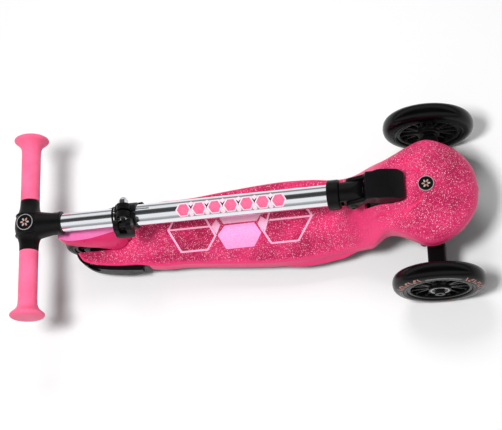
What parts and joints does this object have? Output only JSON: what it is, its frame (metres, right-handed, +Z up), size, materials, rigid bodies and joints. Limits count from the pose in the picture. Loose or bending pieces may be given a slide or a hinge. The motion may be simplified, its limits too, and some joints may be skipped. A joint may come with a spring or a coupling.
{
  "type": "folding kick scooter",
  "caption": "Child's folding kick scooter: leaning column steers the front wheels, folded flat over a pink glitter deck, with telescoping handlebar, quick clamp and rear fender brake.",
  "frame": {"origin": "centre of the footprint on the ground, with the scooter folded", "axes": "+X forwards to the nose, +Y to the rider's left, +Z up"},
  "size_m": [0.6154, 0.254, 0.154],
  "materials": {
    "deck_pink": "moulded pink, glitter under clear gloss on the top, plain at the rim",
    "fender_pink": "moulded pink, satin",
    "black_nylon": "moulded black, satin with fine grain",
    "black_tyre": "cast polyurethane, glossy black",
    "grip_rubber": "soft pink rubber",
    "polished_tube": "polished",
    "chrome_bolt": "chrome plated",
    "zinc_steel": "zinc plated",
    "spring_steel": "bright spring wire",
    "black_steel": "black oxide",
    "bearing_steel": "bright bearing steel",
    "badge": "black enamel with a bright rim"
  },
  "bodies": {
    "deck": {"deck_shell": "deck_pink", "nose_hood": "deck_pink", "nose_badge": "badge", "under_frame": "black_nylon", "front_housing": "black_nylon", "hood_screws": "zinc_steel", "deck_screws": "zinc_steel", "kingpins": "zinc_steel", "kingpin_nuts": "zinc_steel", "lean_bolt": "zinc_steel", "lean_nut": "zinc_steel", "centring_springs": "spring_steel", "rear_axle": "zinc_steel", "rear_axle_nut": "zinc_steel", "rear_spacers": "zinc_steel", "brake_pin": "zinc_steel", "brake_spring": "spring_steel"},
    "steering": {"steering_block": "black_nylon", "steering_pin": "zinc_steel", "fold_pin": "black_steel", "fold_pin_nut": "black_steel"},
    "tie_rod": {"tie_rod": "black_nylon"},
    "left_knuckle": {"left_knuckle": "black_nylon", "left_axle_bolt": "black_steel"},
    "right_knuckle": {"right_knuckle": "black_nylon", "right_axle_bolt": "black_steel"},
    "left_wheel": {"left_tyre": "black_tyre", "left_wheel_core": "black_nylon", "left_bearings": "bearing_steel"},
    "right_wheel": {"right_tyre": "black_tyre", "right_wheel_core": "black_nylon", "right_bearings": "bearing_steel"},
    "rear_wheel": {"rear_tyre": "black_tyre", "rear_wheel_core": "black_nylon", "rear_bearings": "bearing_steel"},
    "brake": {"brake_fender": "fender_pink", "brake_pad": "zinc_steel"},
    "column": {"column_sleeve": "black_nylon", "lock_spring": "spring_steel", "spring_seat": "black_nylon", "outer_tube": "polished_tube", "clamp_bush": "black_nylon", "clamp_collar": "black_nylon", "clamp_bolt": "chrome_bolt", "clamp_nut": "chrome_bolt", "clamp_washer": "chrome_bolt", "lever_barrel": "chrome_bolt"},
    "collar": {"release_collar": "black_nylon", "cross_pin": "black_steel", "lock_plunger": "zinc_steel"},
    "lever": {"clamp_lever": "black_nylon"},
    "handlebar": {"inner_tube": "polished_tube", "tube_plug": "black_nylon", "t_joint": "black_nylon", "crossbar": "zinc_steel", "bar_badge": "badge", "left_grip": "grip_rubber", "right_grip": "grip_rubber"}
  },
  "joints": [
    {"name": "lean", "type": "hinge", "parent": "deck", "child": "steering", "pos_m": [0.1857, 0, 0.074], "axis": [1, 0, 0], "range_deg": [-12, 12], "stiffness_Nm_per_rad": 18, "deforming": ["centring_springs"]},
    {"name": "tie_rod_slide", "type": "slide", "parent": "deck", "child": "tie_rod", "axis": [0, 1, 0], "range_m": [-0.0045, 0.0045]},
    {"name": "left_steer", "type": "hinge", "parent": "deck", "child": "left_knuckle", "pos_m": [0.2467, 0.05, 0.06], "axis": [0, 0, 1], "range_deg": [-15.5, 15.5]},
    {"name": "right_steer", "type": "hinge", "parent": "deck", "child": "right_knuckle", "pos_m": [0.2467, -0.05, 0.06], "axis": [0, 0, 1], "range_deg": [-15.5, 15.5]},
    {"name": "left_wheel_spin", "type": "hinge", "parent": "left_knuckle", "child": "left_wheel", "pos_m": [0.2467, 0.1075, 0.06], "axis": [0, 1, 0], "continuous": true},
    {"name": "right_wheel_spin", "type": "hinge", "parent": "right_knuckle", "child": "right_wheel", "pos_m": [0.2467, -0.1075, 0.06], "axis": [0, 1, 0], "continuous": true},
    {"name": "rear_wheel_spin", "type": "hinge", "parent": "deck", "child": "rear_wheel", "pos_m": [-0.2213, 0, 0.04], "axis": [0, 1, 0], "continuous": true},
    {"name": "brake_press", "type": "hinge", "parent": "deck", "child": "brake", "pos_m": [-0.1633, 0, 0.038], "axis": [0, -1, 0], "range_deg": [0, 4], "stiffness_Nm_per_rad": 3, "springref_deg": -3.44, "deforming": ["brake_spring"]},
    {"name": "column_fold", "type": "hinge", "parent": "steering", "child": "column", "pos_m": [0.1507, 0, 0.125], "axis": [0, 1, 0], "range_deg": [0, 84]},
    {"name": "fold_release", "type": "slide", "parent": "column", "child": "collar", "axis": [-1, 0, 0], "range_m": [0, 0.006], "stiffness_N_per_m": 1200, "springref_m": -0.002, "deforming": ["lock_spring"]},
    {"name": "clamp_lever_open", "type": "hinge", "parent": "column", "child": "lever", "pos_m": [-0.1478, -0.02, 0.145], "axis": [-1, 0, 0], "range_deg": [0, 150]},
    {"name": "bar_height", "type": "slide", "parent": "column", "child": "handlebar", "axis": [-1, 0, 0], "range_m": [-0.055, 0.15]}
  ],
  "couplings": [
    {"joint": "tie_rod_slide", "follows": "lean", "m_per_rad": 0.02},
    {"joint": "left_steer", "follows": "lean", "ratio": -1.25},
    {"joint": "right_steer", "follows": "lean", "ratio": -1.25}
  ]
}
